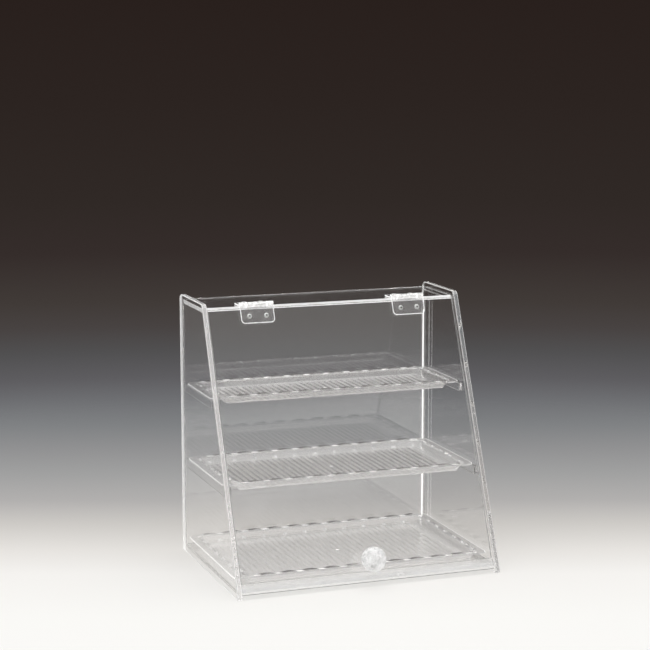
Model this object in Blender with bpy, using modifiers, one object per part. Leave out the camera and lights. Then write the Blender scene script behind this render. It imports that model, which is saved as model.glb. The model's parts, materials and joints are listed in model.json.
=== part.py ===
"""Countertop bakery display case in clear acrylic: two side panels with sloping front edges, back, top, base
and riser, three pull-out trays (two on side rails, one on the base) and a top-hinged front door with a
ball knob.

Frame: +X to the right, +Y to the rear, +Z up. Z = 0 is the table top, X = 0 the middle of the case,
Y = 0 midway between the front of the knob and the rear edges of the side panels. Lengths are in metres.
"""

import math

import bmesh
import bpy
from mathutils import Matrix, Vector

MM = 0.001
SIDES = (("left", -1), ("right", 1))

# Overall case
WIDTH = 330.0 * MM  # over the side panels
DEPTH = 235.0 * MM  # side panel, at the table
TOP_DEPTH = 98.2 * MM  # side panel, at its top edge
HEIGHT = 325.0 * MM
SIDE_T = 6.0 * MM  # side panels
SHEET_T = 5.0 * MM  # every other sheet
REAR_Y = 126.3 * MM  # rear edges of the side panels
FRONT_Y = REAR_Y - DEPTH
FRONT_TOP_Y = REAR_Y - TOP_DEPTH
LEAN = math.atan2(FRONT_TOP_Y - FRONT_Y, HEIGHT)  # of the front edge, from upright
CORNER_R = 8.0 * MM  # upper corners of the side panels
FOOT_R = 3.0 * MM  # lower corners
EDGE_BEVEL = 0.35 * MM  # polished sheet edges
GAP = 0.3 * MM  # between bonded or resting faces
SIDE_GAP = 1.0 * MM  # door to side panel

INNER_X = WIDTH / 2 - SIDE_T
SHEET_HALF = INNER_X - GAP
DOOR_HALF = INNER_X - SIDE_GAP

# Fixed sheets
TOP_UPPER_Z = 319.4 * MM
TOP_INSET = 5.2 * MM  # behind the side panels' upper front corners
TOP_FRONT_Y = FRONT_TOP_Y + TOP_INSET
BACK_INSET = 12.8 * MM  # front face of the back, ahead of the rear edges
BACK_FRONT_Y = REAR_Y - BACK_INSET
BASE_LOWER_Z = 5.8 * MM
BASE_UPPER_Z = BASE_LOWER_Z + SHEET_T
BASE_RISER_GAP = 0.4 * MM
RISER_HEIGHT = 12.0 * MM
RISER_DOOR_GAP = 0.7 * MM

# Door, in the leaning plane that passes through the hinge axis
AXIS_Z = 321.7 * MM
DOOR_INSET = 2.2 * MM  # door face behind the side panels' front edges
LEAF_SEAT = 0.3 * MM  # door face behind the hinge axis
DOOR_BACK = LEAF_SEAT + SHEET_T  # inner face of the door
AXIS_Y = FRONT_Y + AXIS_Z * math.tan(LEAN) + (DOOR_INSET - LEAF_SEAT) / math.cos(LEAN)
DOOR_TOP = -3.7 * MM  # measured along the lean from the hinge axis
DOOR_BOTTOM = -330.0 * MM
RISER_TOP = DOOR_BOTTOM - RISER_DOOR_GAP

# Hinges
HINGE_X = 97.2 * MM
HINGE_WIDTH = 42.2 * MM
HINGE_HALF = HINGE_WIDTH / 2
LEAF_LENGTH = 23.5 * MM
LEAF_T = 1.8 * MM
LEAF_CORNER_R = 5.0 * MM
FRAME_SEAT_Z = TOP_UPPER_Z + GAP - AXIS_Z  # underside of the fixed leaf, from the axis
BARREL_R = 3.2 * MM
NOTCH_R = BARREL_R + 0.6 * MM  # room for the other leaf's knuckles
NOTCH_OVERRUN = 1.0 * MM  # past the ends of the hinge
END_KNUCKLE = 8.0 * MM
KNUCKLE_GAP = 0.4 * MM
PIN_R = 1.0 * MM
PIN_SHORTER = 0.6 * MM  # than the hinge
BORE_R = 1.3 * MM
BORE_OVERRUN = 4.0 * MM  # both ends together

# Hinge screws
SCREW_PITCH = 21.2 * MM
SCREW_FROM_AXIS = 14.8 * MM
SCREW_HEAD_R = 3.1 * MM
SCREW_HEAD_TAPER = 0.72  # outer radius of the head, as a share of the inner
SCREW_HEAD_H = 1.3 * MM
SCREW_SHANK_R = 1.25 * MM
SCREW_HOLE_R = 1.6 * MM
SCREW_CUT_LENGTH = 30.0 * MM  # hole cutter
SCREW_LENGTH = 6.4 * MM
SCREW_NECK_LENGTH = 1.2 * MM
RECESS_R = 0.95 * MM
RECESS_DEPTH = 0.8 * MM

# Knob
KNOB_R = 14.65 * MM
KNOB_STANDOFF = 18.52 * MM  # ball centre to door face
KNOB_ALONG = -318.6 * MM  # ball centre, along the lean from the hinge axis
KNOB_NECK_R = 6.0 * MM
KNOB_NECK_FLARE = 0.4 * MM  # extra neck radius next to the foot
KNOB_FOOT_R = 7.4 * MM
KNOB_FOOT_GAP = 0.2 * MM  # foot to door face
KNOB_FOOT_RIM = 1.0 * MM  # straight edge of the foot
KNOB_FOOT_H = 1.8 * MM  # foot with its slope down to the neck
KNOB_BORE_R = 2.4 * MM
KNOB_BORE_SPARE = 1.0 * MM  # bore beyond the end of the screw
KNOB_BALL_STEPS = 16
KNOB_TURN_STEPS = 32
KNOB_SCREW_R = 2.0 * MM
KNOB_SCREW_HEAD_R = 4.2 * MM
KNOB_SCREW_HEAD_H = 2.2 * MM
KNOB_SCREW_REACH = 14.0 * MM  # into the knob, from the door face
KNOB_SCREW_PROUD = 1.0 * MM  # shank past the door's inner face, into the head
KNOB_RECESS_R = 1.4 * MM
KNOB_RECESS_CUT = 2.4 * MM  # recess cutter, centred on the head's outer face

# Rails and trays
RAIL_W = 4.5 * MM
RAIL_H = 10.0 * MM
RAIL_TOP = {"top": 214.0 * MM, "middle": 119.5 * MM}
RAIL_PROUD = 5.0 * MM  # rail ahead of its tray
TRAY_BACK_GAP = 1.7 * MM
TRAY_REAR_Y = BACK_FRONT_Y - TRAY_BACK_GAP
TRAY_DEPTH = {"top": 110.0 * MM, "middle": 156.0 * MM, "bottom": 198.0 * MM}
TRAY_FRONT = {level: TRAY_REAR_Y - depth for level, depth in TRAY_DEPTH.items()}
TRAY_HALF_W = 157.7 * MM  # over the flanges
TRAY_MOUTH_HALF = 145.5 * MM  # inner face of the wall at the flange
TRAY_LIP = 5.4 * MM  # flange at the front and rear
TRAY_DROP = 8.2 * MM  # flange top to floor top
TRAY_DRAFT = 5.0 * MM  # slope of the walls
TRAY_T = 1.8 * MM
TRAY_CORNER_R = 9.0 * MM

# Rotations that point an object's local z along its parent's +Y, -Y or +X
Z_TO_REAR = (-math.pi / 2, 0, 0)
Z_TO_FRONT = (math.pi / 2, 0, 0)
Z_TO_RIGHT = (0, math.pi / 2, 0)

# ---------------------------------------------------------------- scene and materials

for old in list(bpy.data.objects):
    bpy.data.objects.remove(old, do_unlink=True)

parts = bpy.data.collections.new("bakery_display_case")
cutters = bpy.data.collections.new("cutters")
bpy.context.scene.collection.children.link(parts)
bpy.context.scene.collection.children.link(cutters)
cutters.hide_render = True


def material(name, colour, roughness, metallic=0.0, alpha=1.0):
    mat = bpy.data.materials.new(name)
    mat.use_nodes = True
    shader = mat.node_tree.nodes["Principled BSDF"]
    shader.inputs["Base Color"].default_value = (*colour, 1.0)
    shader.inputs["Roughness"].default_value = roughness
    shader.inputs["Metallic"].default_value = metallic
    shader.inputs["Alpha"].default_value = alpha
    mat.diffuse_color = (*colour, alpha)
    return mat


def acrylic(name, alpha=0.3):
    return material(name, colour=(0.9, 0.93, 0.93), roughness=0.04, alpha=alpha)


def hinge_steel(name):
    return material(name, colour=(0.75, 0.75, 0.74), roughness=0.3, metallic=1.0)


def knob_steel():
    return material("knob_screw_steel", colour=(0.62, 0.62, 0.63), roughness=0.25, metallic=1.0)


def nylon(name):
    return material(name, colour=(0.86, 0.86, 0.84), roughness=0.35)


# ---------------------------------------------------------------- building helpers


def place(obj, mat, parent=None, location=(0, 0, 0), rotation=(0, 0, 0)):
    """Puts obj among the parts, under parent, and gives it its material."""
    for used in list(obj.users_collection):
        used.objects.unlink(obj)
    parts.objects.link(obj)
    obj.parent = parent
    obj.location = location
    obj.rotation_euler = rotation
    obj.data.materials.clear()
    obj.data.materials.append(mat)
    return obj


def empty(name, location, rotation=(0, 0, 0), parent=None):
    obj = bpy.data.objects.new(name, None)
    parts.objects.link(obj)
    obj.parent = parent
    obj.location = location
    obj.rotation_euler = rotation
    obj.empty_display_size = 0.02
    return obj


def helper(name, mesh, parent, location=(0, 0, 0), rotation=(0, 0, 0)):
    """A cutter or a joined-on helper, kept out of the renders."""
    obj = bpy.data.objects.new(name, mesh)
    cutters.objects.link(obj)
    obj.parent = parent
    obj.location = location
    obj.rotation_euler = rotation
    obj.hide_render = True
    obj.display_type = "WIRE"
    return obj


def cone_mesh(name, radius_low, radius_high, length, segments, matrix=None):
    """A capped cone or cylinder about z, centred on the origin unless matrix moves it."""
    mesh = bpy.data.meshes.new(name)
    bm = bmesh.new()
    bmesh.ops.create_cone(
        bm,
        cap_ends=True,
        segments=segments,
        radius1=radius_low,
        radius2=radius_high,
        depth=length,
        matrix=matrix or Matrix.Identity(4),
    )
    bm.to_mesh(mesh)
    bm.free()
    return mesh


def cylinder(name, radius, length, segments):
    return bpy.data.objects.new(name, cone_mesh(name, radius, radius, length, segments))


def cylinder_helper(
    name, radius, length, segments, parent, location=(0, 0, 0), rotation=(0, 0, 0)
):
    mesh = cone_mesh(name, radius, radius, length, segments)
    return helper(name, mesh, parent, location, rotation)


def boolean(obj, other, operation="DIFFERENCE"):
    mod = obj.modifiers.new(operation.lower() + "_" + other.name, "BOOLEAN")
    mod.operation = operation
    mod.object = other
    mod.solver = "EXACT"


def bevel(obj):
    mod = obj.modifiers.new("polished_edges", "BEVEL")
    mod.width = EDGE_BEVEL
    mod.segments = 1
    mod.limit_method = "ANGLE"
    mod.angle_limit = math.radians(40)


def shade(obj, sharp_degrees):
    obj.data.shade_smooth()
    obj.data.set_sharp_from_angle(angle=math.radians(sharp_degrees))


def sheet(name, low, high, mat, parent=None, location=(0, 0, 0)):
    """A flat cut sheet between two corners, given in the object's own axes."""
    low, high = Vector(low), Vector(high)
    bpy.ops.mesh.primitive_cube_add(size=1.0)
    obj = bpy.context.object
    obj.name = name
    scale = Matrix.Diagonal((*(high - low), 1.0))
    obj.data.transform(Matrix.Translation((low + high) / 2) @ scale)
    place(obj, mat, parent, location)
    bevel(obj)
    return obj


def rounded(points, radii, steps=6):
    """The closed 2-D polygon with each corner replaced by an arc of its own radius."""
    outline = []
    count = len(points)
    for i, (corner, radius) in enumerate(zip(points, radii)):
        corner = Vector(corner)
        back = (Vector(points[i - 1]) - corner).normalized()
        ahead = (Vector(points[(i + 1) % count]) - corner).normalized()
        if radius <= 0:
            outline.append(corner)
            continue
        half_angle = back.angle(ahead) / 2
        reach = radius / math.tan(half_angle)
        centre = corner + (back + ahead).normalized() * (radius / math.sin(half_angle))
        start = corner + back * reach - centre
        sweep = start.angle_signed(corner + ahead * reach - centre)
        for step in range(steps + 1):
            # angle_signed is positive clockwise, Matrix.Rotation anticlockwise
            turn = Matrix.Rotation(-sweep * step / steps, 2)
            outline.append(centre + turn @ start)
    return outline


def flat_plate(name, outline, thickness):
    """A mesh plate from a filled 2-D curve, extruded by half its thickness each way."""
    curve = bpy.data.curves.new(name, "CURVE")
    curve.dimensions = "2D"
    curve.fill_mode = "BOTH"
    curve.extrude = thickness / 2
    spline = curve.splines.new("POLY")
    spline.points.add(len(outline) - 1)
    for point, (x, y) in zip(spline.points, outline):
        point.co = (x, y, 0.0, 1.0)
    spline.use_cyclic_u = True
    source = bpy.data.objects.new(name + "_outline", curve)
    cutters.objects.link(source)
    bpy.context.view_layer.update()
    graph = bpy.context.evaluated_depsgraph_get()
    mesh = bpy.data.meshes.new_from_object(source.evaluated_get(graph))
    bpy.data.objects.remove(source, do_unlink=True)
    # weld the caps to the rim and merge the fill triangles
    bm = bmesh.new()
    bm.from_mesh(mesh)
    bmesh.ops.remove_doubles(bm, verts=bm.verts, dist=1e-6)
    bmesh.ops.recalc_face_normals(bm, faces=bm.faces)
    bmesh.ops.dissolve_limit(
        bm, angle_limit=math.radians(0.5), verts=bm.verts, edges=bm.edges
    )
    bm.to_mesh(mesh)
    bm.free()
    mesh.name = name
    return bpy.data.objects.new(name, mesh)


def turned(name, profile, steps):
    """A solid of revolution about local z from an (r, z) profile with both ends on the axis."""
    mesh = bpy.data.meshes.new(name)
    bm = bmesh.new()
    verts = [bm.verts.new((r, 0.0, z)) for r, z in profile]
    for start, end in zip(verts, verts[1:]):
        bm.edges.new((start, end))
    bm.to_mesh(mesh)
    bm.free()
    obj = bpy.data.objects.new(name, mesh)
    screw = obj.modifiers.new("turn", "SCREW")
    screw.axis = "Z"
    screw.steps = steps
    screw.render_steps = steps
    screw.use_merge_vertices = True
    screw.merge_threshold = 0.00001
    screw.use_smooth_shade = True
    return obj


# ---------------------------------------------------------------- fixed case


def side_panels():
    outline = rounded(
        [(FRONT_Y, 0.0), (REAR_Y, 0.0), (REAR_Y, HEIGHT), (FRONT_TOP_Y, HEIGHT)],
        [FOOT_R, FOOT_R, CORNER_R, CORNER_R],
    )
    # the outline's x runs to the rear and its y runs up
    upright = Matrix(((0, 0, 1), (1, 0, 0), (0, 1, 0))).to_euler()
    for word, sign in SIDES:
        side = flat_plate(f"side_panel_{word}", outline, SIDE_T)
        place(
            side,
            acrylic(f"side_{word}_acrylic"),
            location=(sign * (WIDTH - SIDE_T) / 2, 0, 0),
            rotation=upright,
        )
        bevel(side)


def back_panel():
    sheet(
        "back_panel",
        (-SHEET_HALF, BACK_FRONT_Y, BASE_LOWER_Z),
        (SHEET_HALF, BACK_FRONT_Y + SHEET_T, TOP_UPPER_Z),
        acrylic("back_acrylic"),
    )


def make_top_panel():
    return sheet(
        "top_panel",
        (-SHEET_HALF, TOP_FRONT_Y, TOP_UPPER_Z - SHEET_T),
        (SHEET_HALF, BACK_FRONT_Y - GAP, TOP_UPPER_Z),
        acrylic("top_acrylic"),
    )


def base_panel():
    """The base, whose front edge stops just behind the leaning riser."""
    front_y = (
        AXIS_Y
        + DOOR_BACK / math.cos(LEAN)
        - (AXIS_Z - BASE_UPPER_Z) * math.tan(LEAN)
        + BASE_RISER_GAP
    )
    sheet(
        "base_panel",
        (-SHEET_HALF, front_y, BASE_LOWER_Z),
        (SHEET_HALF, BACK_FRONT_Y - GAP, BASE_UPPER_Z),
        acrylic("base_acrylic"),
    )


def front_riser():
    """A narrow leaning sheet below the door, in the plane of the closed door."""
    plane = empty("door_plane_fixed", (0, AXIS_Y, AXIS_Z), (-LEAN, 0, 0))
    sheet(
        "front_riser",
        (-SHEET_HALF, LEAF_SEAT, RISER_TOP - RISER_HEIGHT),
        (SHEET_HALF, DOOR_BACK, RISER_TOP),
        acrylic("riser_acrylic"),
        parent=plane,
    )


def tray_rails():
    for level, rail_top in RAIL_TOP.items():
        for word, sign in SIDES:
            low_x, high_x = sorted((sign * (SHEET_HALF - RAIL_W), sign * SHEET_HALF))
            sheet(
                f"tray_rail_{level}_{word}",
                (low_x, TRAY_FRONT[level] - RAIL_PROUD, 0),
                (high_x, BACK_FRONT_Y - GAP, RAIL_H),
                acrylic(f"rail_{level}_{word}_acrylic", alpha=0.4),
                location=(0, 0, rail_top - RAIL_H),
            )


side_panels()
back_panel()
top_panel = make_top_panel()
base_panel()
front_riser()
tray_rails()

# ---------------------------------------------------------------- trays


def tray(level, flange_top_z):
    """Basin with sloped walls and rounded corners, under a flat flange that is wide at the sides
    and narrow at the front and rear: an open surface, thickened downwards."""
    name = f"tray_{level}"
    depth = TRAY_DEPTH[level]
    mouth_depth = depth - 2 * TRAY_LIP
    mesh = bpy.data.meshes.new(name)
    bm = bmesh.new()
    bmesh.ops.create_cube(bm, size=1.0)
    lid = [f for f in bm.faces if f.normal.z > 0.9]
    bmesh.ops.delete(bm, geom=lid, context="FACES_ONLY")
    for v in bm.verts:
        low = v.co.z < 0
        v.co.x *= 2 * TRAY_MOUTH_HALF
        v.co.y *= mouth_depth
        v.co.z = -TRAY_DROP if low else 0.0
        if low:
            v.co.x -= math.copysign(TRAY_DRAFT, v.co.x)
            v.co.y -= math.copysign(TRAY_DRAFT, v.co.y)
    corners = [
        e for e in bm.edges if abs(e.verts[0].co.z - e.verts[1].co.z) > TRAY_DROP / 2
    ]
    bmesh.ops.bevel(
        bm, geom=corners, offset=TRAY_CORNER_R, segments=4, profile=0.5, affect="EDGES"
    )
    # the flange: the rim, extruded and spread outwards
    rim = [e for e in bm.edges if e.is_boundary]
    grown = bmesh.ops.extrude_edge_only(bm, edges=rim)["geom"]
    for v in [g for g in grown if isinstance(g, bmesh.types.BMVert)]:
        v.co.x *= TRAY_HALF_W / TRAY_MOUTH_HALF
        v.co.y *= depth / mouth_depth
    # faces look up and inwards, so that the thickness goes down and outwards
    bmesh.ops.recalc_face_normals(bm, faces=bm.faces)
    floor = min(bm.faces, key=lambda f: f.calc_center_median().z)
    if floor.normal.z < 0:
        bmesh.ops.reverse_faces(bm, faces=bm.faces)
    bm.to_mesh(mesh)
    bm.free()
    obj = bpy.data.objects.new(name, mesh)
    centre_y = (TRAY_FRONT[level] + TRAY_REAR_Y) / 2
    place(obj, acrylic(f"{name}_plastic", alpha=0.4), location=(0, centre_y, flange_top_z))
    wall = obj.modifiers.new("wall", "SOLIDIFY")
    wall.thickness = TRAY_T
    wall.offset = -1.0
    wall.use_even_offset = True
    shade(obj, 30)


# the upper two rest by their flanges on the rails, the bottom one by its floor on the base
for level, rail_top in RAIL_TOP.items():
    tray(level, rail_top + GAP + TRAY_T)
tray("bottom", BASE_UPPER_Z + GAP + TRAY_DROP + TRAY_T)

# ---------------------------------------------------------------- door and knob

# local z runs up the door, local -y points out of it
door_axis = empty("door_axis", (0, AXIS_Y, AXIS_Z), (-LEAN, 0, 0))


def door_panel():
    panel = sheet(
        "door_panel",
        (-DOOR_HALF, LEAF_SEAT, DOOR_BOTTOM),
        (DOOR_HALF, DOOR_BACK, DOOR_TOP),
        acrylic("door_acrylic"),
        parent=door_axis,
    )
    hole_at = (0, LEAF_SEAT + SHEET_T / 2, KNOB_ALONG)
    hole = cylinder_helper(
        "knob_hole", KNOB_BORE_R, 4 * SHEET_T, 24, door_axis, hole_at, Z_TO_REAR
    )
    boolean(panel, hole)
    return panel


def door_knob():
    """Ball, neck and foot turned in one piece about its own z, which points at the door."""
    foot_z = KNOB_STANDOFF - KNOB_FOOT_GAP
    bore_end = KNOB_STANDOFF - KNOB_SCREW_REACH - KNOB_BORE_SPARE
    # (r, z), from the blind end of the bore out over the foot and round the ball
    profile = [
        (0.0, bore_end),
        (KNOB_BORE_R, bore_end),
        (KNOB_BORE_R, foot_z),
        (KNOB_FOOT_R, foot_z),
        (KNOB_FOOT_R, foot_z - KNOB_FOOT_RIM),
        (KNOB_NECK_R + KNOB_NECK_FLARE, foot_z - KNOB_FOOT_H),
    ]
    neck_angle = math.asin(KNOB_NECK_R / KNOB_R)
    for i in range(KNOB_BALL_STEPS):
        angle = neck_angle + (math.pi - neck_angle) * i / KNOB_BALL_STEPS
        profile.append((KNOB_R * math.sin(angle), KNOB_R * math.cos(angle)))
    profile.append((0.0, -KNOB_R))
    place(
        turned("door_knob", profile, KNOB_TURN_STEPS),
        acrylic("knob_acrylic", alpha=0.35),
        door_axis,
        (0, LEAF_SEAT - KNOB_STANDOFF, KNOB_ALONG),
        Z_TO_REAR,
    )


def knob_screw():
    """Screw through the door into the knob, with its head inside the case."""
    length = KNOB_SCREW_REACH + SHEET_T + KNOB_SCREW_PROUD
    tip_y = LEAF_SEAT - KNOB_SCREW_REACH
    end_y = DOOR_BACK + KNOB_SCREW_PROUD
    screw = cylinder("knob_screw", KNOB_SCREW_R, length, 20)
    place(screw, knob_steel(), door_axis, (0, (tip_y + end_y) / 2, KNOB_ALONG), Z_TO_REAR)
    head_y = DOOR_BACK + GAP
    head = cylinder_helper(
        "knob_screw_head",
        KNOB_SCREW_HEAD_R,
        KNOB_SCREW_HEAD_H,
        24,
        door_axis,
        (0, head_y + KNOB_SCREW_HEAD_H / 2, KNOB_ALONG),
        Z_TO_REAR,
    )
    boolean(screw, head, "UNION")
    recess = cylinder_helper(
        "knob_screw_recess",
        KNOB_RECESS_R,
        KNOB_RECESS_CUT,
        6,
        door_axis,
        (0, head_y + KNOB_SCREW_HEAD_H, KNOB_ALONG),
        Z_TO_REAR,
    )
    boolean(screw, recess)


door = door_panel()
door_knob()
knob_screw()

# ---------------------------------------------------------------- hinges

# Knuckles and the notches that clear the other leaf's knuckles, as (from, to) along x
END_INNER = HINGE_HALF - END_KNUCKLE
MIDDLE_HALF = HINGE_HALF - END_KNUCKLE - KNUCKLE_GAP
NOTCH_END = HINGE_HALF + NOTCH_OVERRUN
DOOR_KNUCKLES = [(-HINGE_HALF, -END_INNER), (END_INNER, HINGE_HALF)]
DOOR_NOTCHES = [(-END_INNER, END_INNER)]
FRAME_KNUCKLES = [(-MIDDLE_HALF, MIDDLE_HALF)]
FRAME_NOTCHES = [(-NOTCH_END, -MIDDLE_HALF), (MIDDLE_HALF, NOTCH_END)]

# The fixed leaf lies flat on the top panel: its down becomes back, its outer face looks up
FRAME_LEAF_TURN = Matrix(((-1, 0, 0), (0, 0, -1), (0, -1, 0))).to_euler()


def leaf(name, knuckles, notches, seat, mat, parent, rotation=(0, 0, 0)):
    """A leaf that hangs from the hinge axis at the parent's origin: plate down local -z, outer
    face towards -y, inner face at y = seat."""
    plate = flat_plate(
        name,
        rounded(
            [
                (-HINGE_HALF, 0.0),
                (HINGE_HALF, 0.0),
                (HINGE_HALF, -LEAF_LENGTH),
                (-HINGE_HALF, -LEAF_LENGTH),
            ],
            [0, 0, LEAF_CORNER_R, LEAF_CORNER_R],
        ),
        LEAF_T,
    )
    # the outline's y becomes local z
    plate.data.transform(
        Matrix.Translation((0, seat - LEAF_T / 2, 0)) @ Matrix.Rotation(math.pi / 2, 4, "X")
    )
    place(plate, mat, parent, rotation=rotation)
    for kind, spans, radius, operation in (
        ("notch", notches, NOTCH_R, "DIFFERENCE"),
        ("knuckle", knuckles, BARREL_R, "UNION"),
    ):
        for i, (low, high) in enumerate(spans):
            middle = ((low + high) / 2, 0, 0)
            tool = cylinder_helper(
                f"{name}_{kind}_{i}", radius, high - low, 24, plate, middle, Z_TO_RIGHT
            )
            boolean(plate, tool, operation)
    bore_length = HINGE_WIDTH + BORE_OVERRUN
    bore = cylinder_helper(
        f"{name}_bore", BORE_R, bore_length, 16, plate, rotation=Z_TO_RIGHT
    )
    boolean(plate, bore)
    return plate


def hinge_pin(word, x):
    name = f"hinge_{word}_pin"
    pin = cylinder(name, PIN_R, HINGE_WIDTH - PIN_SHORTER, 16)
    place(pin, nylon(f"{name}_nylon"), None, (x, AXIS_Y, AXIS_Z), Z_TO_RIGHT)
    shade(pin, 35)


def hinge_screw(name, parent, location, rotation):
    """A pan-head screw along local y: head at the outside (-y), shank running in (+y)."""
    screw = cylinder(name, SCREW_SHANK_R, SCREW_LENGTH, 12)
    place(screw, hinge_steel(f"{name}_steel"), parent, location, rotation)
    screw.data.transform(
        Matrix.Translation((0, SCREW_LENGTH / 2, 0)) @ Matrix.Rotation(math.pi / 2, 4, "X")
    )
    head_mesh = cone_mesh(
        name + "_head",
        SCREW_HEAD_R * SCREW_HEAD_TAPER,
        SCREW_HEAD_R,
        SCREW_HEAD_H,
        20,
        Matrix.Translation((0, -GAP - SCREW_HEAD_H / 2, 0))
        @ Matrix.Rotation(-math.pi / 2, 4, "X"),
    )
    boolean(screw, helper(name + "_head", head_mesh, screw), "UNION")
    # the neck bridges the gap between head and shank
    neck = cylinder_helper(
        name + "_neck", SCREW_SHANK_R, SCREW_NECK_LENGTH, 12, screw, rotation=Z_TO_FRONT
    )
    boolean(screw, neck, "UNION")
    face = (0, -GAP - SCREW_HEAD_H, 0)
    recess = cylinder_helper(
        name + "_recess", RECESS_R, 2 * RECESS_DEPTH, 6, screw, face, Z_TO_FRONT
    )
    boolean(screw, recess)


def screw_pair(name, parent, drilled, screw_yz, screw_turn, hole_yz, hole_turn):
    """Two screws a pitch apart along x, with their holes through each of the drilled pieces."""
    for number, sign in ((1, -1), (2, 1)):
        x = sign * SCREW_PITCH / 2
        hinge_screw(f"{name}_screw_{number}", parent, (x, *screw_yz), screw_turn)
        hole = cylinder_helper(
            f"{name}_hole_{number}",
            SCREW_HOLE_R,
            SCREW_CUT_LENGTH,
            16,
            parent,
            (x, *hole_yz),
            hole_turn,
        )
        for piece in drilled:
            boolean(piece, hole)


def door_side(word, x):
    """The swinging leaf, screwed to the door."""
    name = f"hinge_{word}_door"
    mount = empty(f"hinge_{word}_on_door", (x, 0, 0), parent=door_axis)
    plastic = acrylic(f"{name}_plastic", alpha=0.45)
    plate = leaf(f"{name}_leaf", DOOR_KNUCKLES, DOOR_NOTCHES, 0.0, plastic, mount)
    screw_pair(
        name,
        mount,
        drilled=(plate, door),
        screw_yz=(-LEAF_T, -SCREW_FROM_AXIS),
        screw_turn=(0, 0, 0),
        hole_yz=(0, -SCREW_FROM_AXIS),
        hole_turn=Z_TO_FRONT,
    )


def frame_side(word, x):
    """The fixed leaf, screwed to the top panel."""
    name = f"hinge_{word}_frame"
    mount = empty(f"hinge_{word}_on_top", (x, AXIS_Y, AXIS_Z))
    plate = leaf(
        f"{name}_leaf",
        FRAME_KNUCKLES,
        FRAME_NOTCHES,
        -FRAME_SEAT_Z,
        acrylic(f"{name}_plastic", alpha=0.45),
        mount,
        FRAME_LEAF_TURN,
    )
    screw_pair(
        name,
        mount,
        drilled=(plate, top_panel),
        screw_yz=(SCREW_FROM_AXIS, FRAME_SEAT_Z + LEAF_T),
        screw_turn=Z_TO_REAR,
        hole_yz=(SCREW_FROM_AXIS, 0),
        hole_turn=(0, 0, 0),
    )


for word, sign in SIDES:
    door_side(word, sign * HINGE_X)
    frame_side(word, sign * HINGE_X)
    hinge_pin(word, sign * HINGE_X)
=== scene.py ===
"""Countertop bakery display case: clear sheet case with rounded polished edges, three moulded
trays with ribbed floors and rope rims, a leaning front door on two clear butt hinges, and a
ball knob.

Metres, +Z up. The case stands on the table at z = 0, its front faces -Y and x runs to the right.
"""
import json
import math

import bmesh
import bpy
import numpy as np
from mathutils import Matrix, Vector


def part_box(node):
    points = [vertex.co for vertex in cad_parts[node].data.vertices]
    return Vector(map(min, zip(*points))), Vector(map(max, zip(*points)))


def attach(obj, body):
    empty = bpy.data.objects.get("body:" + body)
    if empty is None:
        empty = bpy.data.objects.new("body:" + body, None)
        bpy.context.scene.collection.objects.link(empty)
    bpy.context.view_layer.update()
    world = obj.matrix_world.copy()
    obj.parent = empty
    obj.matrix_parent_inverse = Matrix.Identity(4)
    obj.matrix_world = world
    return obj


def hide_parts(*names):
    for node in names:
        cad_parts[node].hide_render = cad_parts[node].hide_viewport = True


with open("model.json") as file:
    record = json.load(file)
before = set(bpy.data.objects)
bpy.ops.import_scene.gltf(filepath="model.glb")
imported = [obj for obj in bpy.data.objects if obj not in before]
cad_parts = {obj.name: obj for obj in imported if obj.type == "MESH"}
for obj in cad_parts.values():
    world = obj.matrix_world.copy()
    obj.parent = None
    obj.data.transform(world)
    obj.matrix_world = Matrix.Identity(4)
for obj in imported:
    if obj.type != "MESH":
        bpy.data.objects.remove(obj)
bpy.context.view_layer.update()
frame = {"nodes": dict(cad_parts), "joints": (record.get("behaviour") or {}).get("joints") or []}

scene = bpy.context.scene
MM = 0.001

# ------------------------------------------------------------------ driving dimensions

# Side panels
DEPTH = 235.0 * MM  # at the table, to the corner before rounding
TOP_DEPTH = 98.2 * MM  # along the top edge
CORNER_R = 8.0 * MM
FOOT_R = 3.0 * MM

# Rounding of the sheets
SIDE_EDGE_R = 1.1 * MM
SHEET_EDGE_R = 0.5 * MM
FINE_EDGE_R = 0.3 * MM
SHEET_CORNER_R = 0.5 * MM
SMALLEST_CORNER_R = 0.04 * MM
SHEET_SHARP_ANGLE = 32  # degrees

# Hinges
HINGE_WIDTH = 42.2 * MM
LEAF_LENGTH = 23.5 * MM
LEAF_T = 1.8 * MM
LEAF_EDGE_R = 0.88 * MM
LEAF_CORNER_R = 5.0 * MM
LEAF_PIN_CORNER_R = 0.9 * MM
BARREL_R = 3.2 * MM
BARREL_CLEARANCE = 1.0 * MM
END_KNUCKLE = 8.0 * MM
KNUCKLE_GAP = 0.4 * MM
PIN_R = 1.0 * MM
PIN_INSET = 0.3 * MM
BORE_R = 1.3 * MM
GAP = 0.3 * MM  # between a leaf and its sheet, and under a screw head

# Hinge screws
SCREW_PITCH = 21.2 * MM
SCREW_FROM_AXIS = 14.8 * MM
SCREW_HEAD_H = 1.3 * MM
SCREW_SHANK_R = 1.25 * MM
SCREW_HOLE_R = 1.6 * MM
SCREW_LENGTH = 6.4 * MM
SCREW_OFFSETS = (-SCREW_PITCH / 2, SCREW_PITCH / 2)  # from the middle of a hinge

# Knob
KNOB_R = 14.65 * MM
KNOB_STANDOFF = 18.52 * MM  # ball centre to the door's outer face
KNOB_ALONG = -318.6 * MM  # from the hinge axis, along the door
KNOB_BORE_R = 2.4 * MM
KNOB_NECK_R = 6.0 * MM
DOOR_FACE_Y = GAP  # door's outer face, in the door's axes

# Trays
RIB_PITCH = 7.6 * MM
RIB_HEIGHT_MM = {"tray_top": 0.8, "tray_middle": 1.0, "tray_bottom": 0.12}
ROPE_PITCH = 26.6 * MM
ROPE_STEPS = 25  # steps of the loop in one turn of the rope, in whole steps
ROPE_TWIST = 0.12  # turns by which a lobe slants between the middle of the bead and its side


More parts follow.
